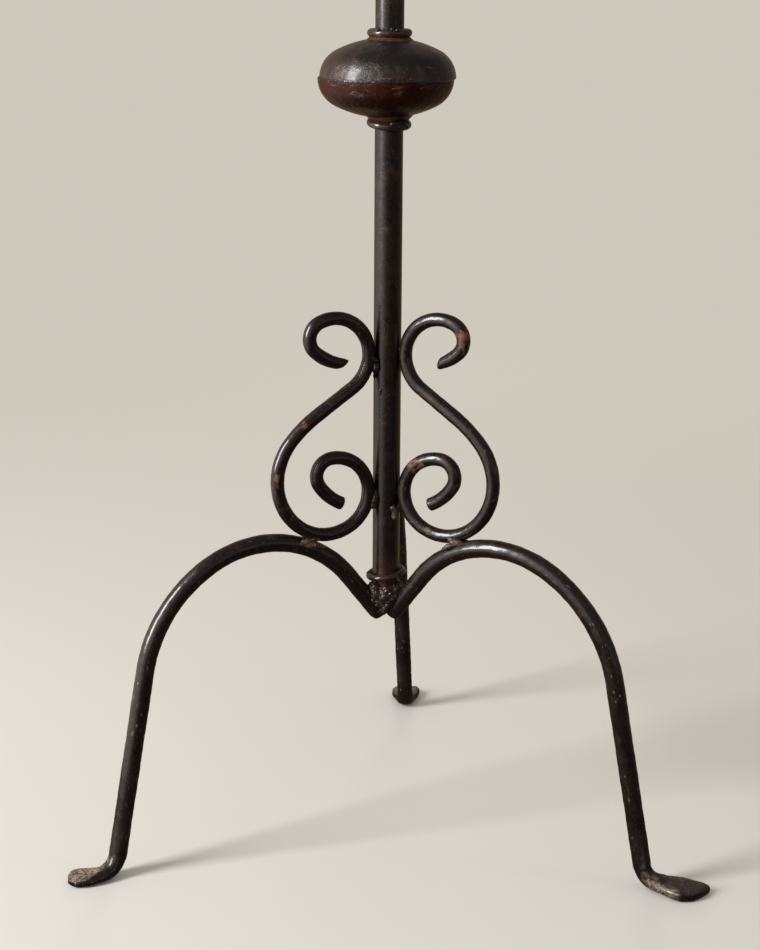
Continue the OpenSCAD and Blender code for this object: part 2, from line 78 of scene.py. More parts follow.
# ---------------------------------------------------------------- node trees
class Tree:
    """The nodes of a material or world, with a few short-hands."""

    def __init__(self, owner):
        owner.use_nodes = True
        self.t = owner.node_tree

    def new(self, kind, **props):
        n = self.t.nodes.new(kind)
        for k, v in props.items():
            setattr(n, k, v)
        return n

    def link(self, a, b):
        self.t.links.new(a, b)

    def feed(self, socket, v):
        """Puts a number, a colour or what another node gives into a socket."""
        if isinstance(v, (int, float)):
            socket.default_value = v
        elif isinstance(v, tuple):
            socket.default_value = (*v, 1)
        else:
            self.link(v, socket)

    def split(self, vector):
        n = self.new("ShaderNodeSeparateXYZ")
        self.link(vector, n.inputs[0])
        return n.outputs

    def span(self, value, start, end, **props):
        """0 at start and 1 at end, held beyond them."""
        n = self.new("ShaderNodeMapRange", **props)
        n.inputs["From Min"].default_value = start
        n.inputs["From Max"].default_value = end
        self.link(value, n.inputs["Value"])
        return n.outputs["Result"]

    def ramp(self, fac, stops):
        r = self.new("ShaderNodeValToRGB")
        el = r.color_ramp.elements
        while len(el) < len(stops):
            el.new(0.5)
        for e, (p, c) in zip(el, stops):
            e.position = p
            e.color = (c, c, c, 1) if isinstance(c, (int, float)) else (*c, 1)
        self.link(fac, r.inputs["Fac"])
        return r.outputs["Color"]

    def by_direction(self, vector, colours):
        """A ramp of colours by compass direction, in degrees from -x all the way round."""
        parts = self.split(vector)
        share = self.span(self.math("ARCTAN2", parts["Y"], parts["X"]), -math.pi, math.pi)
        return self.ramp(share, [(degrees / 360, c) for degrees, c in colours])

    def mix(self, fac, a, b):
        m = self.new("ShaderNodeMix", data_type="RGBA")
        colours = [s for s in m.inputs if s.type == "RGBA"]
        for socket, v in zip([m.inputs[0]] + colours, (fac, a, b)):
            self.feed(socket, v)
        return next(s for s in m.outputs if s.type == "RGBA")

    def blend(self, fac, a, b):
        """A mix of two shaders."""
        m = self.new("ShaderNodeMixShader")
        for socket, v in zip(m.inputs, (fac, a, b)):
            self.link(v, socket)
        return m.outputs[0]

    def math(self, op, a, b=None, clamp=False):
        m = self.new("ShaderNodeMath", operation=op, use_clamp=clamp)
        for socket, v in zip(m.inputs, (a, b)):
            if v is not None:
                self.feed(socket, v)
        return m.outputs[0]

    def times(self, a, b, clamp=False):
        return self.math("MULTIPLY", a, b, clamp)

    def plus(self, a, b):
        return self.math("ADD", a, b)

    def most(self, a, b, clamp=False):
        return self.math("MAXIMUM", a, b, clamp)


class Graph(Tree):
    """A new material, its nodes laid round the Principled shader."""

    def __init__(self, name):
        self.mat = bpy.data.materials.new(name)
        super().__init__(self.mat)
        self.bsdf = self.t.nodes["Principled BSDF"]
        self.co = self.new("ShaderNodeTexCoord").outputs["Object"]

    def set(self, **values):
        for k, v in values.items():
            self.bsdf.inputs[k.replace("_", " ")].default_value = v

    def mapped(self, scale, turn=(0, 0, 0)):
        """The object's coordinates, scaled and turned (radians)."""
        m = self.new("ShaderNodeMapping")
        m.inputs["Scale"].default_value = scale
        m.inputs["Rotation"].default_value = turn
        self.link(self.co, m.inputs["Vector"])
        return m.outputs["Vector"]

    def noise(self, scale, detail=4, rough=0.55, vec=None, distort=0.0):
        n = self.new("ShaderNodeTexNoise")
        n.inputs["Scale"].default_value = scale
        n.inputs["Detail"].default_value = detail
        n.inputs["Roughness"].default_value = rough
        n.inputs["Distortion"].default_value = distort
        self.link(vec or self.co, n.inputs["Vector"])
        return n.outputs["Fac"]

    def cells(self, scale, vec=None):
        n = self.new("ShaderNodeTexVoronoi")
        n.inputs["Scale"].default_value = scale
        self.link(vec or self.co, n.inputs["Vector"])
        return n.outputs["Distance"]

    def attribute(self, name, output="Fac"):
        return self.new("ShaderNodeAttribute", attribute_name=name).outputs[output]

    def height(self):
        return self.split(self.co)["Z"]

    def bump(self, parts):
        """parts: (height, distance in metres, strength), from coarse to fine."""
        last = None
        for height, dist, strength in parts:
            b = self.new("ShaderNodeBump")
            b.inputs["Distance"].default_value = dist
            b.inputs["Strength"].default_value = strength
            self.link(height, b.inputs["Height"])
            if last is not None:
                self.link(last, b.inputs["Normal"])
            last = b.outputs["Normal"]
        self.link(last, self.bsdf.inputs["Normal"])

    def finished(self, base, rough, bumps, **values):
        self.link(base, self.bsdf.inputs["Base Color"])
        self.link(rough, self.bsdf.inputs["Roughness"])
        self.set(**values)
        self.bump(bumps)
        return self.mat


# ---------------------------------------------------------------- materials
SPECK = (0.30, 0.25, 0.21)       # pale chips in the lacquer
OLD_RUST = (0.190, 0.092, 0.048)
DIRT = (0.040, 0.027, 0.023)     # dull haze on the lower legs
# pale tan of dusty places, also used as painted light on the right pad's lit side and up the
# left shin's edge
DUST_AND_LIGHT = ((0.135, 0.092, 0.066), (0.46, 0.36, 0.27))
GRIT = 2.3                       # how much paler than its brown the fine grit is
MATT = 0.62                      # roughness of rust and dirt


def iron(name, dark, brown, rust, rust_amount=0.5, rough=(0.22, 0.40), coat=0.6,
         metallic=0.25, specks=0.5, grain=1.0, painted=False, foot=False):
    """Old dark lacquer over iron: glossy, mottled, with brown wear, pits and pale specks.

    painted reads the attributes of the bars' skins: wear, along, and the paleness of dusty
    places, which on the right pad's lit side and up the left shin's edge is painted light. foot
    adds the burnt rust at the stem's lower end."""
    g = Graph(name)
    big = g.noise(26, 3, 0.6)
    mid = g.noise(120, 5, 0.6)
    fine = g.noise(900, 4, 0.65)
    tone = g.plus(g.times(big, 0.6), g.times(mid, 0.4))
    base = g.mix(g.ramp(tone, [(0.38, 0.0), (0.62, 1.0)]), dark, brown)
    grit = g.ramp(g.noise(620, 3, 0.7), [(0.46, 0.0), (0.62, 0.55)])
    base = g.mix(grit, base, tuple(GRIT * c for c in brown))
    patch = g.ramp(g.noise(60, 5, 0.7, distort=0.4),
                   [(0.60 - 0.08 * rust_amount, 0.0), (0.72 - 0.08 * rust_amount, 1.0)])
    mask = g.times(patch, g.ramp(fine, [(0.4, 0.35), (0.62, 1.0)]))
    r = g.plus(rough[0], g.times(g.ramp(mid, [(0.3, 0.0), (0.7, 1.0)]), rough[1] - rough[0]))
    if painted:
        along = g.attribute("along", "Vector")
        low = g.span(g.height(), 0.27, 0.16)
        flake = g.plus(g.noise(330, 4, 0.6, vec=along), g.times(g.attribute("wear"), 0.19))
        worn = g.ramp(flake, [(0.64, 0.0), (0.69, 1.0)])
        rust = g.mix(g.ramp(g.noise(70, 3), [(0.44, 0.0), (0.56, 1.0)]), rust, OLD_RUST)
        haze = g.times(low, g.ramp(g.noise(52, 5, 0.65, vec=along), [(0.49, 0.0), (0.64, 0.75)]))
        base = g.mix(haze, base, DIRT)
        r = g.most(r, g.times(haze, MATT))
        fleck = g.times(g.ramp(g.cells(300, vec=along), [(0.09, 1.0), (0.17, 0.0)]),
                        g.ramp(g.noise(38, 2), [(0.46, 0.0), (0.56, 1.0)]))
        fleck = g.times(fleck, g.plus(0.15, g.times(low, 0.75)))
        mask = g.most(g.times(mask, 0.30), worn, clamp=True)
    if foot:
        burnt = g.times(g.span(g.height(), 0.232, 0.214),
                        g.ramp(g.noise(170, 5, 0.7), [(0.40, 0.0), (0.60, 0.85)]))
        mask = g.most(mask, burnt)
    base = g.mix(mask, base, rust)
    spot = g.cells(420)
    few = g.ramp(g.noise(45, 2), [(0.42, 0.0), (0.56, 1.0)])
    speck = g.times(g.times(g.ramp(spot, [(0.07, 1.0), (0.13, 0.0)]), few), specks)
    if painted:
        speck = g.most(speck, fleck)
    base = g.mix(speck, base, SPECK)
    r = g.most(r, g.times(mask, MATT))
    if painted:
        # Pale tan: dusty tops, and painted light on the right pad's lit side and up the left
        # shin's edge
        bare = g.ramp(g.noise(260, 4, 0.7), [(0.42, 0.25), (0.54, 1.0)])
        dust_and_light = g.times(g.attribute("dust_and_light"), bare, clamp=True)
        base = g.mix(dust_and_light, base, g.mix(g.ramp(fine, [(0.42, 0.0), (0.58, 1.0)]), *DUST_AND_LIGHT))
        r = g.most(r, g.times(dust_and_light, 0.9))
        dull = g.most(g.times(dust_and_light, 1.8), g.most(g.times(haze, 0.9), worn))
        g.link(g.times(g.math("SUBTRACT", 1.0, dull, clamp=True), coat),
               g.bsdf.inputs["Coat Weight"])
    else:
        g.set(Coat_Weight=coat)
    return g.finished(base, r, [(big, 0.0012, 0.16 * grain), (mid, 0.0006, 0.16 * grain),
                                (fine, 0.00015, 0.15 * grain), (spot, 0.0002, 0.06)],
                      Metallic=metallic, Coat_Roughness=0.13, Specular_IOR_Level=0.5)


bar_iron = iron("bar_iron", (0.0052, 0.0038, 0.0034), (0.0150, 0.0085, 0.0064),
                (0.090, 0.036, 0.018), 0.35, painted=True)
tube_iron = iron("tube_iron", (0.0062, 0.0044, 0.0038), (0.0165, 0.0098, 0.0074),
                 (0.105, 0.042, 0.022), 0.30, rough=(0.24, 0.44), coat=0.5, specks=0.9,
                 grain=1.7, foot=True)
ring_iron = iron("ring_iron", (0.015, 0.0095, 0.0075), (0.042, 0.024, 0.017),
                 (0.12, 0.055, 0.028), 0.5, rough=(0.18, 0.34), coat=0.6)
sheet_iron = iron("sheet_iron", (0.008, 0.007, 0.0065), (0.022, 0.016, 0.013),
                  (0.10, 0.045, 0.024), 0.4, rough=(0.30, 0.50), coat=0.4, grain=1.8)
bare_iron = iron("bare_iron", (0.07, 0.055, 0.047), (0.12, 0.08, 0.06),
                 (0.2, 0.09, 0.045), 0.6, rough=(0.35, 0.55), coat=0.0, metallic=0.7)
weld_iron = iron("weld_iron", (0.0075, 0.0055, 0.0050), (0.024, 0.0135, 0.0105),
                 (0.085, 0.035, 0.020), 0.6, rough=(0.20, 0.40), coat=0.6, specks=0.4,
                 grain=1.4)
char_iron = iron("char_iron", (0.012, 0.0085, 0.0072), (0.044, 0.025, 0.019),
                 (0.11, 0.045, 0.027), 0.7, rough=(0.18, 0.45), coat=0.55, specks=0.5,
                 grain=1.8)
pale_weld = iron("pale_weld", (0.030, 0.021, 0.018), (0.085, 0.058, 0.048),
                 (0.14, 0.07, 0.045), 0.9, rough=(0.34, 0.58), coat=0.2, specks=0.8,
                 grain=2.2)
# rust on the collars, its colour darkened as painted shade like that under the ring
rust_and_shade_weld = iron("rust_and_shade_weld", (0.030, 0.013, 0.008), (0.070, 0.027, 0.015),
                 (0.14, 0.055, 0.026), 1.1, rough=(0.36, 0.62), coat=0.25, grain=2.4)


def knop_material(name, upper):
    """A knop's half: lacquer over brown above, over red below, scratched beside the seam."""
    g = Graph(name)
    big = g.noise(16, 4, 0.6)
    mid = g.noise(70, 5, 0.62)
    fine = g.noise(700, 4, 0.6)
    crust = g.noise(150, 5, 0.7, distort=0.6)
    drag = g.noise(7, 5, 0.65, vec=g.mapped((9, 9, 1.2)), distort=0.5)
    near_seam = None
    for _, z in KNOPS:
        off = g.math("ABSOLUTE", g.math("SUBTRACT", g.height(), z * MM))
        band = g.span(off, 0.015, 0.003)
        near_seam = g.most(near_seam, band) if near_seam else band
    level = g.mapped((1, 1, 6.5), turn=(0.05, 0.03, 0))
    scratch = g.ramp(g.noise(62, 5, 0.7, vec=level, distort=0.7), [(0.59, 0.0), (0.66, 1.0)])
    if upper:
        base = g.mix(g.ramp(big, [(0.42, 0.0), (0.62, 1.0)]), (0.0110, 0.0085, 0.0072),
                     (0.050, 0.0220, 0.0120))
        base = g.mix(g.ramp(drag, [(0.50, 0.0), (0.66, 0.9)]), base, (0.052, 0.0290, 0.0275))
        base = g.mix(g.ramp(crust, [(0.50, 0.0), (0.66, 0.7)]), base, (0.010, 0.008, 0.007))
        r = g.plus(0.20, g.times(g.ramp(drag, [(0.35, 0.0), (0.65, 1.0)]), 0.24))
        gloss = {"Coat_Weight": 0.4, "Specular_IOR_Level": 0.5}
    else:
        base = g.mix(g.ramp(big, [(0.42, 0.0), (0.60, 1.0)]), (0.0260, 0.0050, 0.0024),
                     (0.056, 0.0125, 0.0052))
        base = g.mix(g.ramp(mid, [(0.50, 0.0), (0.70, 1.0)]), base, (0.013, 0.0040, 0.0026))
        # darker away from the seam towards the bowl's bottom: painted shade of its underside
        base = g.mix(g.ramp(near_seam, [(0.0, 0.45), (0.5, 0.0)]), base,
                     (0.007, 0.0026, 0.0020))
        r = g.plus(0.18, g.times(g.ramp(mid, [(0.35, 0.0), (0.65, 1.0)]), 0.2))
        gloss = {"Coat_Weight": 0.10, "Specular_IOR_Level": 0.2}
    base = g.mix(g.times(scratch, g.times(near_seam, 0.65)), base, (0.26, 0.185, 0.15))
    chips = g.times(g.ramp(g.cells(210), [(0.04, 1.0), (0.08, 0.0)]), 0.5)
    base = g.mix(chips, base, SPECK)
    return g.finished(base, r, [(big, 0.004, 0.45), (drag, 0.0012, 0.70), (mid, 0.0010, 0.60),
                                (crust, 0.0012, 0.85),
                                (g.times(scratch, near_seam), 0.0005, 0.6),
                                (fine, 0.00015, 0.25)],
                      Metallic=0.15, Coat_Roughness=0.16, **gloss)


knop_dark = knop_material("knop_dark", True)
knop_red = knop_material("knop_red", False)


def material_of(n):
    """The material of a CAD node by its name."""
    if n.endswith("knop_cap"):
        return knop_dark
    if n.endswith("knop_bowl"):
        return knop_red
    if "collar" in n:
        return rust_and_shade_weld
    if "weld" in n or n.endswith("seam"):
        return weld_iron
    if "ring" in n:
        return ring_iron
    if n in ("crown_plug", "crown_pin", "crown_end_plug", "cup_screws"):
        return bare_iron
    if n.startswith(("pan_", "cup_")):
        return sheet_iron
    if n in ("stem_tube", "crown_post"):
        return tube_iron
    return bar_iron


for n, o in nodes.items():
    for s in o.material_slots:
        s.material = material_of(n)
    if not o.material_slots:
        o.data.materials.append(material_of(n))


# ---------------------------------------------------------------- the routes of the bars
# A path is a list of bends (radius, turn) and straights (0, length), as in the part's source.
LEG_FROM, LEG_SLOPE = (5.6, 180.3), 52.5
LEG = [(0, 45.5), (88.4, -82.2), (112.6, -49.6), (0, 147.024), (14, 79.3)]
SCROLL_FROM, SCROLL_SLOPE = (39.4206, 387.346), 10.8695
SCROLL = [(45.9, 31.1), (13.4, 115.5), (30.1, 170.5), (0, 34.8), (102.6, -15.7),
          (47.3, -107.1), (38.6, -51.3), (30.1, -157.4), (13.4, -119.5), (45.9, -31.7)]
ARM_FROM, ARM_SLOPE = (39.4412, 1379.89), 25
ARM = [(45.9, 31.7), (13.4, 119.5), (30.1, 157.4), (38.6, 51.4), (0, 58), (95, 65), (0, 14)]


def turned(v, a):
    a = math.radians(a)
    return (v[0] * math.cos(a) - v[1] * math.sin(a), v[0] * math.sin(a) + v[1] * math.cos(a))


def route(path, start, slope, step):
    """Points along a path, as (x, z, heading, length so far)."""
    out, p, h, s = [], start, slope, 0.0
    for r, a in path:
        length = a if r == 0 else r * abs(math.radians(a))
        count = max(2, round(length / step))
        sign = 1 if a > 0 else -1
        for i in range(count):
            f = i / count
            if r == 0:
                d = turned((a * f, 0), h)
                out.append((p[0] + d[0], p[1] + d[1], h, s + length * f))
            else:
                c = turned((0, sign * r), h)
                e = turned((0, sign * r), h + a * f)
                out.append((p[0] + c[0] - e[0], p[1] + c[1] - e[1], h + a * f, s + length * f))
        if r == 0:
            d = turned((a, 0), h)
            p = (p[0] + d[0], p[1] + d[1])
        else:
            c, e = turned((0, sign * r), h), turned((0, sign * r), h + a)
            p = (p[0] + c[0] - e[0], p[1] + c[1] - e[1])
            h += a
        s += length
    out.append((p[0], p[1], h, s))
    return out


def placed(v, at, lean=0.0):
    """From a bar's own plane (x outwards, y sideways, z up) to the frame, in metres."""
    x, y, z = v
    if lean:
        y, z = turned((y, z - LEAN_FROM), lean)
        z += LEAN_FROM
    x, y = turned((x, y), at)
    return Vector((x * MM, y * MM, z * MM))


def uneven(s, t, seed):
    """Hand-worked unevenness of a bar's radius, as a share."""
    return (0.012 * math.sin(s * 0.11 + seed) + 0.008 * math.sin(s * 0.37 + 2.1 * seed + 2 * t)
            + 0.006 * math.sin(s * 0.81 + 3 * t + seed * 1.7))


def smooth(t):
    """Eases from 0 to 1, and holds both."""
    t = min(1.0, max(0.0, t))
    return t * t * (3 - 2 * t)


# ---------------------------------------------------------------- the bars' skins
COUNT = 28          # points round a bar
DRAWN_OUT = 0.4     # the marks on a bar are this much slower along it than across

# Where the photograph shows brown wear: x, y, z and radius
WEAR = [(-64, -38, 345, 7), (22, -17, 307, 9), (32, -22, 256, 5), (57, -38, 413, 9),
        (60, -39, 403, 9), (-85, -48, 304, 5), (84, -52, 290, 6), (50, -33, 320, 4),
        (131, -89, 243, 4), (140, -92, 240, 4), (40, 66, 300, 9), (24, 90, 260, 7),
        (-60, -36, 1400, 9), (70, -40, 1372, 9), (4, 90, 1368, 8)]


def worn(p):
    """How worn a place is: 1 near the middle of a spot of WEAR, and 0 beyond its radius."""
    best = 0.0
    for x, y, z, r in WEAR:
        best = max(best, 1 - (Vector((x * MM, y * MM, z * MM)) - p).length / (r * MM))
    return min(1.0, best * 1.8)


def skin(name, rings, run=None, dust_and_light=None, offsets=None, bar=True):
    """A skin over rings of points, with the attributes that bar_iron reads.

    run gives each ring's length along the bar; the paleness of dusty places (painted light on
    the right pad's lit side and up the left shin's edge) and offsets (across the bar) give one
    value for each point. A bar has its ends capped and takes its wear from WEAR."""
    n = len(rings[0])
    last = (len(rings) - 1) * n
    faces = [(i * n + j, i * n + (j + 1) % n, (i + 1) * n + (j + 1) % n, (i + 1) * n + j)
             for i in range(len(rings) - 1) for j in range(n)]
    if bar:
        faces += [tuple(range(n - 1, -1, -1)), tuple(range(last, last + n))]
    me = bpy.data.meshes.new(name)
    me.from_pydata([p for ring in rings for p in ring], [], faces)
    me.update()
    bm = bmesh.new()
    bm.from_mesh(me)
    bmesh.ops.recalc_face_normals(bm, faces=bm.faces)
    bm.to_mesh(me)
    bm.free()
    for p in me.polygons:
        p.use_smooth = True
    wear_layer = me.attributes.new("wear", "FLOAT", "POINT")
    for v in me.vertices:
        wear_layer.data[v.index].value = worn(v.co) if bar else 0.0
    # each point's paleness: dusty places, and painted light on a pad's lit side and a shin's
    # edge
    dust_and_light_layer = me.attributes.new("dust_and_light", "FLOAT", "POINT")
    for v in me.vertices:
        dust_and_light_layer.data[v.index].value = dust_and_light[v.index] if dust_and_light else 0.0
    along_layer = me.attributes.new("along", "FLOAT_VECTOR", "POINT")
    for v in me.vertices:
        i, j = divmod(v.index, n)
        t = 2 * math.pi * j / n
        u, w = offsets[v.index] if offsets else (BAR_R * math.cos(t), BAR_R * math.sin(t))
        s = run[i] if run else 0.0
        along_layer.data[v.index].vector = (s * DRAWN_OUT * MM, u * MM, w * MM)
    me.materials.append(bar_iron)
    return linked(name, me)


def between(table, x):
    """The values of a table's rows (x, a, b, ...), from row to row."""
    if x <= table[0][0]:
        return table[0][1:]
    for low, high in zip(table, table[1:]):
        if x <= high[0]:
            f = (x - low[0]) / (high[0] - low[0])
            return tuple(p + (q - p) * f for p, q in zip(low[1:], high[1:]))
    return table[-1][1:]


# A pad by its distance from the stem: its middle sideways, half its width, half its thickness
PAD_LEFT = [(229, 0, 7, 7), (236, 1.6, 7.4, 6.2), (243, 3.1, 8.2, 4.9), (250, 3.3, 9.9, 4.0),
            (257, 2.0, 11.7, 3.4), (262.3, 0.6, 12.2, 3.0), (265.4, 0.7, 10.9, 2.7),
            (267.6, 0.5, 7.6, 2.3), (268.8, 0.2, 4.2, 1.7), (269.3, 0.1, 1.2, 0.8)]
PAD_RIGHT = [(229, 0, 6.7, 6.8), (236, 2.2, 7.4, 6.2), (243, 4.6, 10.0, 5.2),
             (250, 5.8, 12.4, 4.6), (257, 6.2, 13.8, 4.3), (264.5, 6.4, 14.2, 4.0),
             (268.5, 8.0, 13.0, 3.8), (272, 9.8, 11.6, 3.6), (274.6, 12.6, 9.0, 3.2),
             (276.4, 16.4, 5.2, 2.6), (277.2, 18.2, 2.6, 1.6)]
PAD_BACK = [(229, 0, 7, 7), (236, 0.2, 7.6, 6.3), (243, 0.4, 9.2, 5.1), (250, 0.6, 11.4, 4.4),
            (257, 0.8, 13.0, 4.0), (264, 0.8, 13.2, 3.6), (268, 0.9, 11.8, 3.3),
            (270.6, 1.0, 8.8, 2.9), (272.0, 1.0, 5.0, 2.2), (272.6, 1.0, 1.6, 1.0)]
PAD_FROM = 242      # where a leg's bar has become its pad


def pad_dust_and_light(side, px, py, cz, share, c, d):
    """How pale a point of a leg is made: dusty tops, and painted light on the right pad's lit
    side and up the left shin's inner edge.

    px and py are its place outwards and sideways, cz the height of the bar's middle, share
    its place across the pad, and c and d its direction from the bar's middle."""
    top = smooth((d - 0.25) / 0.35)
    if side == "left":
        line = smooth((7.4 + (px - 243.8) * 0.443 - 2.2 - py) / 2.4)
        pad = 0.95 * smooth((px - 239) / 5) * line * top
        # pale at the heel's inside, rising up the shin's inner edge as a painted highlight
        heel = smooth(1 - abs(px - 238.5) / 3.5) * smooth((cz - 4) / 4)
        heel *= smooth(1 - abs(c + 0.15) / 0.6) * (1 if d > 0 else 0) * smooth((44 - cz) / 12)
        return max(pad, heel * 0.9)
    if side == "right":
        # the pad's front-left side, towards the key lamp: painted light, pale tan as its lit
        # side
        lit_side = smooth((-share - 0.55) / 0.25) * smooth((px - 230) / 5) * smooth((265 - px) / 6)
        heel = smooth(1 - abs(px - 241) / 4) * top * smooth((4 - py) / 4)
        most = max(0.75 * lit_side, 0.8 * heel, 0.13 * top * smooth((px - 246) / 5))
        return most if d > -0.7 else 0.0
    return 0.6 * smooth((px - 240) / 6) * top


def leg_piece(name, at, lean, seed, pad, twist, side):
    """A leg from the hub to the tip of its pad, which twist turns sideways."""
    points = route(LEG, LEG_FROM, LEG_SLOPE, 1.6)
    total = points[-1][3]
    heel = total - LEG[-1][0] * math.radians(LEG[-1][1])
    bend_x = points[-1][0] - 3
    rings, run, dust_and_light, offsets = [], [], [], []

    def ring(cx, cz, h, a, b, s, power=2.0, shift=0.0, slant=0.0):
        """A ring of half width a and half height b, squarer as power grows."""
        out = []
        for j in range(COUNT):
            t = 2 * math.pi * (j + 0.5) / COUNT
            c, d = math.cos(t), math.sin(t)
            u = math.copysign(abs(c) ** (2 / power), c) * a
            w = math.copysign(abs(d) ** (2 / power), d) * b
            k = 1 + uneven(s, t, seed) * (1.0 if cx < PAD_FROM else 0.4)
            u, w = u * k, w * k
            if slant and w > 0:
                # the sides of a hammered pad lean in towards its top
                u -= (2.2 if u > 0 else -0.6) * slant * (w / b)
            nx, nz = turned((0, 1), h)
            px, py = cx + nx * w, u + shift
            if px > bend_x:
                qx, qy = turned((px - bend_x, py - shift), twist * smooth((px - bend_x) / 10))
                px, py = bend_x + qx, qy + shift
            p = placed((px, py, cz + nz * w), at, lean)
            dent = noise.noise(Vector((px * 0.16, py * 0.16, seed)))
            dent += 0.5 * noise.noise(Vector((px * 0.42, py * 0.42, seed)))
            top = smooth((d - 0.25) / 0.35)
            p.z += 0.55 * MM * dent * top * smooth((px - PAD_FROM) / 6)
            p.z = max(p.z, 0.0)
            out.append(p)
            dust_and_light.append(pad_dust_and_light(side, px, py, cz, u / a, c, d))
            offsets.append((u, w))
        rings.append(out)
        run.append(s + 1.5 * max(0.0, s - heel))

    for x, z, h, s in points:
        if s < heel:
            r = LEG_R * (0.86 + 0.14 * smooth(s / 3.5))
            ring(x, z, h, r, r, s)
            continue
        f = (s - heel) / (total - heel)
        shift, a, b = between(pad, x)
        k = smooth(f) ** 2
        ring(x, z * (1 - k) + b * k, h, a, b, s, 2 + 0.5 * smooth(f), shift, 0.3 * f)
    first, tip, steps = points[-1][0], pad[-1][0], 30
    for i in range(1, steps + 1):
        x = first + (tip - first) * (1 - (1 - i / steps) ** 1.5)
        f = (x - first) / (tip - first)
        shift, a, b = between(pad, x)
        ring(x, b, 0, a, b, total + x - first, 2.5 + 2.0 * smooth(1.6 * f), shift,
             0.3 + 0.7 * (1 - f))
    return skin(name, rings, run, dust_and_light, offsets)


def bar_piece(name, at, points, seed, taper, back=lambda w, s: 0.0):
    """A scroll's or an arm's bar. Near its first tip, taper(s) gives the radius's share and
    back(w, s) moves a point along the bar; s is the length so far, w the height across it."""
    rings = []
    for x, z, h, s in points:
        (nx, nz), (dx, dz) = turned((0, 1), h), turned((1, 0), h)
        ring = []
        for j in range(COUNT):
            t = 2 * math.pi * j / COUNT
            r = taper(s) * (1 + uneven(s * 1.3, t, seed))
            u, w = math.cos(t) * r, math.sin(t) * r
            e = back(w, s)
            ring.append(placed((x + nx * w + dx * e, u, z + nz * w + dz * e), at))
        rings.append(ring)
    return skin(name, rings, [p[3] for p in points])


def scroll_piece(name, at, seed, trim, bevel, extra):
    """trim cuts the upper tip short, bevel slants it and extra draws it out."""
    points = [(x, z, h, s - trim) for x, z, h, s in
              route(SCROLL, SCROLL_FROM, SCROLL_SLOPE, 1.3) if s >= trim]

    def taper(s):
        r = BAR_R * (0.84 + 0.16 * smooth(s / 16)) if s < 16 else BAR_R
        return r * (0.80 + 0.20 * smooth(s / 2.6)) if s < 2.6 else r

    def back(w, s):
        return (w * bevel - extra) * (1 - s / 8) if s < 8 else 0.0

    return bar_piece(name, at, points, seed, taper, back)


def arm_piece(name, at, seed):
    return bar_piece(name, at, route(ARM, ARM_FROM, ARM_SLOPE, 1.4), seed,
                     lambda s: BAR_R * (0.7 + 0.3 * smooth(s / 14)) if s < 14 else BAR_R)


for side, at, lean, seed, pad, twist in (
        ("left", 205, 1.5, 0.3, PAD_LEFT, -7), ("right", 328, 1.5, 1.9, PAD_RIGHT, 0),
        ("back", 87, -2.2, 4.1, PAD_BACK, 0)):
    o = leg_piece("forged_leg_" + side, at, lean, seed, pad, twist, side)
    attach(o, "stand")
    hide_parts("leg_" + side)
for (side, at, _), (seed, trim, bevel, extra) in zip(
        SCROLLS, ((1.1, 0, -0.85, 2.2), (2.7, 5.5, 0.55, 0), (4.9, 0, 0.4, 0))):
    o = scroll_piece("forged_scroll_" + side, at, seed, trim, bevel, extra)
    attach(o, "stand")
    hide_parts("scroll_" + side)
for (side, at), seed in zip(ARMS, (0.2, 1.2, 2.2)):
    o = arm_piece("forged_arm_" + side, at, seed)
    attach(o, "crown")
    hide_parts("arm_" + side)


# ---------------------------------------------------------------- welds
def lumps(name, balls, mat, voxel=0.0006, rough=0.00028, seed=0.0):
    """Balls (place in metres, radius in mm) run together into one rough mass.

    voxel is the size of the mesh's cells and rough the height of its skin, in metres."""
    bm = bmesh.new()
    for centre, r in balls:
        m = Matrix.Translation(centre) @ Matrix.Scale(r * MM, 4)
        bmesh.ops.create_icosphere(bm, subdivisions=3, radius=1.0, matrix=m)
    me = bpy.data.meshes.new(name + "_raw")
    bm.to_mesh(me)
    bm.free()
    raw = linked(name + "_raw", me)
    mod = raw.modifiers.new("remesh", "REMESH")
    mod.mode = "VOXEL"
    mod.voxel_size = voxel
    mod.use_smooth_shade = True
    soften = raw.modifiers.new("soften", "SMOOTH")
    soften.factor = 0.5
    soften.iterations = 5
    dg = bpy.context.evaluated_depsgraph_get()
    out = bpy.data.meshes.new_from_object(raw.evaluated_get(dg))
    bpy.data.objects.remove(raw)
    out.name = name
    shift = Vector((seed * 3.1, seed * 1.7, seed * 2.3))
    moves = []
    for v in out.vertices:
        ridge = 1 - 2 * abs(noise.noise(v.co * 420 + shift))
        a = (noise.noise(v.co * 150 + shift) * 1.9 + (ridge - 0.6) * 0.7
             + noise.noise(v.co * 1000 + shift) * 0.35)
        moves.append(v.co + v.normal * a * rough)
    for v, c in zip(out.vertices, moves):
        v.co = c
    for q in out.polygons:
        q.use_smooth = True
    out.materials.clear()
    out.materials.append(mat)
    return linked(name, out)


def chance(i, k=1.0):
    """A fixed number from 0 to 1 for each i."""
    v = math.sin(i * 12.9898 + k * 78.233) * 43758.5453
    return v - math.floor(v)


def stem_weld(at, z, front, seed):
    """Balls down the corner between a curl and the stem, more of them on the front side."""
    balls = []
    for side in (front, -front):
        n = 5 if side == front else 4
        for i in range(n):
            f = i / (n - 1)
            dz = -12 + 14 * f
            out = 11.8 + 0.012 * dz * dz
            size = 2.1 + 1.1 * chance(i, seed + 2)
            balls.append((placed((out, side * (1.6 + 1.0 * chance(i, seed + 1)), z + dz), at),
                          size if side == front else size * 0.8))
    return balls


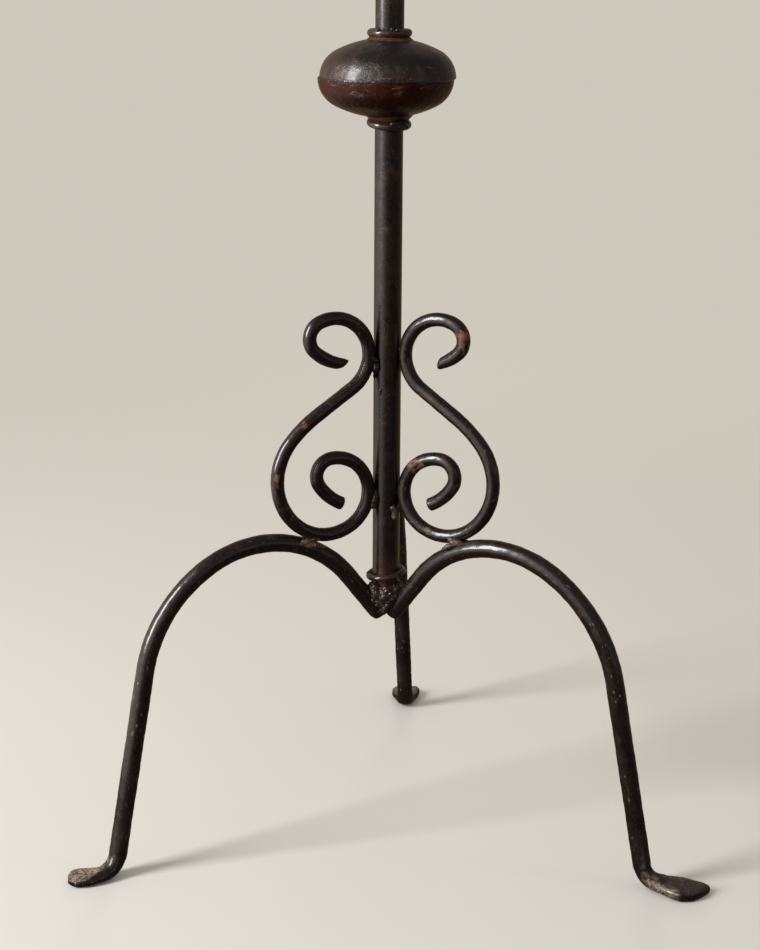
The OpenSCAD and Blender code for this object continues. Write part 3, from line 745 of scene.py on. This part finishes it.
def bead(points, count, sizes, seed, wander=0.5):
    """A bead of weld along points in the frame, its size running through sizes."""
    out = []
    for i in range(count):
        f = i / (count - 1)
        k = min(int(f * (len(points) - 1)), len(points) - 2)
        p = Vector(points[k]).lerp(Vector(points[k + 1]), f * (len(points) - 1) - k)
        off = Vector((chance(i, seed) - 0.5, chance(i, seed + 1) - 0.5,
                      chance(i, seed + 2) - 0.5))
        m = min(int(f * (len(sizes) - 1)), len(sizes) - 2)
        r = sizes[m] + (sizes[m + 1] - sizes[m]) * (f * (len(sizes) - 1) - m)
        out.append(((p + off * 2 * wander) * MM, r * (0.85 + 0.3 * chance(i, seed + 3))))
    return out


balls = []
for k, (side, at, front) in enumerate(SCROLLS):
    for z in (392.8, 283.6):
        both = stem_weld(at, z, front, k * 3 + z / 100)
        balls += both if side == "back" else both[5:]
# What shows from the front: lumps in the left scroll's two corners, and two drips
for line, count, sizes, seed, wander in (
        ([(-12.2, -9.4, 391), (-9.6, -8.4, 387), (-9.2, -8.0, 382), (-9.4, -7.4, 378.5)],
         10, (1.9, 3.1, 3.1, 2.0), 1.0, 0.5),
        ([(-7.0, -9.2, 388.6), (-7.4, -9.0, 383.5)], 4, (1.5, 1.7), 2.0, 0.5),
        ([(-9.8, -6.6, 376), (-10.0, -6.2, 373.6)], 3, (1.3, 0.9), 3.0, 0.1),
        ([(-12.4, -9.2, 270.4), (-9.8, -8.2, 274), (-9.2, -8.0, 279), (-9.2, -7.8, 283)],
         10, (2.0, 3.1, 3.1, 2.2), 4.0, 0.5),
        ([(-7.0, -9.2, 281), (-7.6, -8.8, 275)], 4, (1.5, 1.7), 5.0, 0.5),
        ([(-5.0, -9.1, 365), (-4.9, -9.2, 362)], 3, (1.4, 1.0), 6.0, 0.1)):
    balls += bead(line, count, sizes, seed, wander)
o = lumps("scroll_stem_beads", balls, weld_iron, rough=0.00022, seed=1.0)
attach(o, "stand")
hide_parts("scroll_stem_welds")

# The pale stub of weld on the stem, under the right scroll's lower curl
balls = bead([(5.8, -9.4, 269.6), (7.2, -8.8, 266.5), (6.4, -9.1, 263)], 9, (2.1, 2.7, 2.1),
             7.0, 0.6)
balls += bead([(9.2, -7.2, 269), (8.8, -7.8, 264.5)], 4, (1.8, 1.6), 8.0)
o = lumps("scroll_stem_stub", balls, pale_weld, rough=0.00055, seed=6.0)
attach(o, "stand")

# Under each scroll's sole, on both sides of the leg
balls = []
for k, (side, at, front) in enumerate(SCROLLS):
    for i in range(9):
        f = i / 8 - 0.5
        z = 250.4 - f * 4.2 + 0.8 * chance(i, k + 5) - abs(f) * 1.2
        for y in (front, -front):
            balls.append((placed((67 + f * 15, y * (2.4 + 1.4 * chance(i, k)), z), at - 1),
                          2.1 + 1.3 * chance(i, k + 9) * (1 - abs(f))))
balls += bead([(-65, -35, 247), (-56, -33.5, 246.6), (-48, -30, 244)], 10, (1.5, 2.3, 1.6), 9.0)
balls += bead([(43.5, -36, 245.8), (49, -38.4, 248.6), (56, -40, 251)], 10, (1.5, 2.2, 1.6),
              10.0)
o = lumps("scroll_leg_beads", balls, pale_weld, rough=0.0004, seed=2.0)
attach(o, "stand")
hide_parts("scroll_leg_welds")

# The hub: one rugged mass, with smaller ones between the legs, a rough rim and a few drops
HUB = [(-3, -6, 186, 6), (-9, -7, 192, 6), (-4, -9, 193, 6.5), (2, -9, 192, 6), (5, -8, 198, 6),
       (-6, -9, 199, 6.5), (0, -9.5, 199, 6.5), (-11, -6, 197, 5.5), (-2, -7, 186, 5.5),
       (8, -8, 203, 5), (0, -11, 203, 5), (-8, -9, 203, 5), (-13, -6, 201, 4.5),
       (4, -11, 196, 4), (-14.5, -9, 199.5, 3.6), (-13, -10, 195, 3.4), (-10, -9, 188.5, 4)]
HUB_DROPS = [(-16.2, -8.6, 199.5, 1.6), (-3.5, -15.8, 196, 1.3), (3.6, -15.2, 201, 1.4),
             (-9.8, -13.4, 194, 1.5), (-1.0, -14.0, 188, 1.3), (7.8, -12.6, 198.5, 1.3),
             (-5.6, -12.0, 184.6, 1.4), (-12.4, -11.0, 203.6, 1.6)]
balls = [(Vector((x, y, z)) * MM, r) for x, y, z, r in HUB]
for az in (27.5, 146):
    for r, z, size in ((3, 188, 5.5), (6.5, 191, 5), (7, 197, 5.5), (8.5, 202, 5)):
        for turn in (-16, 16):
            a = math.radians(az + turn)
            balls.append((Vector((r * math.cos(a), r * math.sin(a), z)) * MM, size))
for i in range(30):
    a = math.radians(i * 12)
    balls.append((Vector((11.3 * math.cos(a), 11.3 * math.sin(a),
                          201.5 + 3.5 * chance(i, 5.0))) * MM, 2.0 + 0.8 * chance(i, 6.0)))
balls += [(Vector((x, y, z)) * MM, r) for x, y, z, r in HUB_DROPS]
o = lumps("hub_beads", balls, char_iron, voxel=0.0005, rough=0.00085, seed=3.0)
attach(o, "stand")
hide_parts("hub_weld")

balls = []
for k, (side, at) in enumerate(ARMS):
    balls += stem_weld(at, 1387.0, 1, k * 2 + 0.5) + stem_weld(at, 1387.0, -1, k * 2 + 1.5)
o = lumps("arm_beads", balls, weld_iron, seed=4.0)
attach(o, "crown")
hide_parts("arm_welds")


# ---------------------------------------------------------------- the knops' seams
SEAM_R = 49.85
SEAM_X = -1.9       # between the two halves' offsets


def seam(name, z, seed):
    """The rough seam between a knop's halves: a low ridge with breaks and blobs."""
    rings, n, m = [], 260, 10
    for i in range(n):
        t = 2 * math.pi * i / n
        w = noise.noise(Vector((math.cos(t) * 3 + seed, math.sin(t) * 3, 0)))
        u = noise.noise(Vector((math.cos(t) * 22, math.sin(t) * 22 + seed, 1)))
        r = SEAM_R + 0.35 * w + 0.55 * u
        h = 0.85 + 0.45 * u + 0.3 * w
        middle = z + 0.6 * w + 0.5 * u
        ring = []
        for j in range(m):
            a = 2 * math.pi * j / m
            x = r + 0.95 * math.cos(a)
            ring.append(Vector(((x * math.cos(t) + SEAM_X) * MM, x * math.sin(t) * MM,
                                (middle + h * math.sin(a)) * MM)))
        rings.append(ring)
    rings.append(rings[0])
    o = skin(name, rings, bar=False)
    o.data.materials[0] = weld_iron
    bm = bmesh.new()
    bm.from_mesh(o.data)
    bmesh.ops.remove_doubles(bm, verts=bm.verts, dist=1e-6)
    bm.to_mesh(o.data)
    bm.free()
    return o


for pre, z in KNOPS:
    o = seam(pre + "knop_ridge", z, z / 100)
    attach(o, "stand")
    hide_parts(pre + "knop_seam")
    # Spatter: on the right of the lower ring and collar, and round the front above
    balls = []
    for i in range(14):
        az = math.radians(300 + (chance(i, z) - 0.5) * 46)
        r = 15.5 + 2.2 * chance(i, 2)
        balls.append((Vector((r * math.cos(az) * MM, r * math.sin(az) * MM,
                              (z - 33.5 + 5 * (chance(i, 3) - 0.4)) * MM)), 1.3 + chance(i, 4)))
    for i in range(16):
        az = math.radians(262 + (chance(i, 5) - 0.5) * 70)
        r = 13.6 + 3.4 * chance(i, 6)
        balls.append((Vector((r * math.cos(az) * MM, r * math.sin(az) * MM,
                              (z + 34.8 + 1.6 * chance(i, 7)) * MM)),
                      0.7 + 0.8 * chance(i, 8)))
    o = lumps(pre + "knop_spatter", balls, weld_iron, rough=0.0004, seed=5.0 + z)
    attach(o, "stand")


# ---------------------------------------------------------------- floor, light
BACKDROP = (0.62, 0.575, 0.51)      # what the camera sees behind the object
SOFT = (0.465, 0.45, 0.43)          # the world's plain light
OVERHEAD = (0.115, 0.105, 0.098)    # what the gloss reflects from above
AT_FEET = (0.060, 0.039, 0.026)     # and from the floor close by

# What the gloss reflects, by direction: of the floor, and of the room above it
FLOOR = [(0, (1.02, 0.92, 0.84)), (45, (0.97, 0.87, 0.79)), (62, (0.32, 0.26, 0.22)),
         (78, (0.036, 0.027, 0.022)), (150, (0.036, 0.027, 0.022)), (172, (0.10, 0.075, 0.058)),
         (200, (0.18, 0.125, 0.080)), (270, (0.27, 0.18, 0.105)), (300, (0.30, 0.205, 0.125)),
         (328, (0.48, 0.39, 0.29)), (345, (0.95, 0.84, 0.73)), (360, (1.02, 0.92, 0.84))]
ROOM = [(0, (0.98, 0.89, 0.83)), (40, (0.97, 0.93, 0.91)), (74, (0.80, 0.77, 0.76)),
        (90, (0.16, 0.145, 0.135)), (112, (0.08, 0.07, 0.065)), (128, (0.38, 0.36, 0.33)),
        (160, (0.38, 0.36, 0.33)), (172, (0.14, 0.13, 0.12)), (200, (0.16, 0.12, 0.085)),
        (270, (0.25, 0.20, 0.145)), (305, (0.30, 0.25, 0.19)), (330, (0.46, 0.40, 0.33)),
        (346, (0.88, 0.79, 0.72)), (360, (0.98, 0.89, 0.83))]


def stage_floor():
    """A pale floor that fades into the backdrop, and that gloss sees as FLOOR."""
    bm = bmesh.new()
    bmesh.ops.create_circle(bm, cap_ends=True, radius=60, segments=96)
    me = bpy.data.meshes.new("floor")
    bm.to_mesh(me)
    bm.free()
    o = linked("floor", me)
    o.location.z = -0.0002    # just under the pads
    g = Graph("pale_floor")
    g.link(g.mix(g.noise(1.5, 3), (0.70, 0.665, 0.61), (0.72, 0.685, 0.63)),
           g.bsdf.inputs["Base Color"])
    g.set(Roughness=0.9, Specular_IOR_Level=0.1)
    length = g.new("ShaderNodeVectorMath", operation="LENGTH")
    g.link(g.co, length.inputs[0])
    length = length.outputs["Value"]
    far = g.new("ShaderNodeEmission")
    far.inputs["Color"].default_value = (*BACKDROP, 1)
    faded = g.blend(g.span(length, 0.35, 2.2, interpolation_type="SMOOTHSTEP"),
                    g.bsdf.outputs[0], far.outputs[0])
    mirrored = g.new("ShaderNodeEmission")
    g.link(g.mix(g.span(length, 0.40, 0.72), AT_FEET, g.by_direction(g.co, FLOOR)),
           mirrored.inputs["Color"])
    ray = g.new("ShaderNodeLightPath").outputs["Is Camera Ray"]
    out = next(n for n in g.t.nodes if n.type == "OUTPUT_MATERIAL")
    g.link(g.blend(ray, mirrored.outputs[0], faded), out.inputs["Surface"])
    me.materials.append(g.mat)


def studio_world():
    """Plain light, the backdrop for the camera, and ROOM for the gloss."""
    world = bpy.data.worlds.new("studio")
    bpy.context.scene.world = world
    g = Tree(world)
    where = g.new("ShaderNodeTexCoord").outputs["Generated"]
    parts = g.split(where)
    high = g.span(g.plus(g.times(parts["X"], 0.4), parts["Z"]), 0.35, 0.75)
    mirrored = g.mix(high, g.by_direction(where, ROOM), OVERHEAD)
    path = g.new("ShaderNodeLightPath").outputs
    plain = g.mix(path["Is Camera Ray"], SOFT, BACKDROP)
    background = g.t.nodes["Background"]
    g.link(g.mix(path["Is Glossy Ray"], plain, mirrored), background.inputs["Color"])
    background.inputs["Strength"].default_value = 1.0


def area(name, at, to, size, power, colour, glossy=True):
    """A lamp; size is its width and height, in metres, as its places are."""
    data = bpy.data.lights.new(name, "AREA")
    data.shape = "RECTANGLE"
    data.size, data.size_y = size
    data.energy = power
    data.color = colour
    o = linked(name, data)
    o.location = at
    o.visible_glossy = glossy
    o.rotation_euler = (Vector(to) - Vector(at)).to_track_quat("-Z", "Y").to_euler()


stage_floor()
studio_world()
area("key", (-2.10, -1.00, 1.38), (0, 0, 0.5), (0.72, 1.7), 80, (0.97, 0.98, 1.0))
area("window", (2.1, -0.7, 1.0), (0, 0, 0.5), (0.35, 1.8), 3.5, (0.80, 0.90, 1.0), glossy=False)
area("back", (0.3, 3.0, 1.0), (0, 0, 0.4), (1.0, 1.0), 20, (1.0, 0.92, 0.82), glossy=False)

bpy.context.scene.view_settings.view_transform = "Standard"
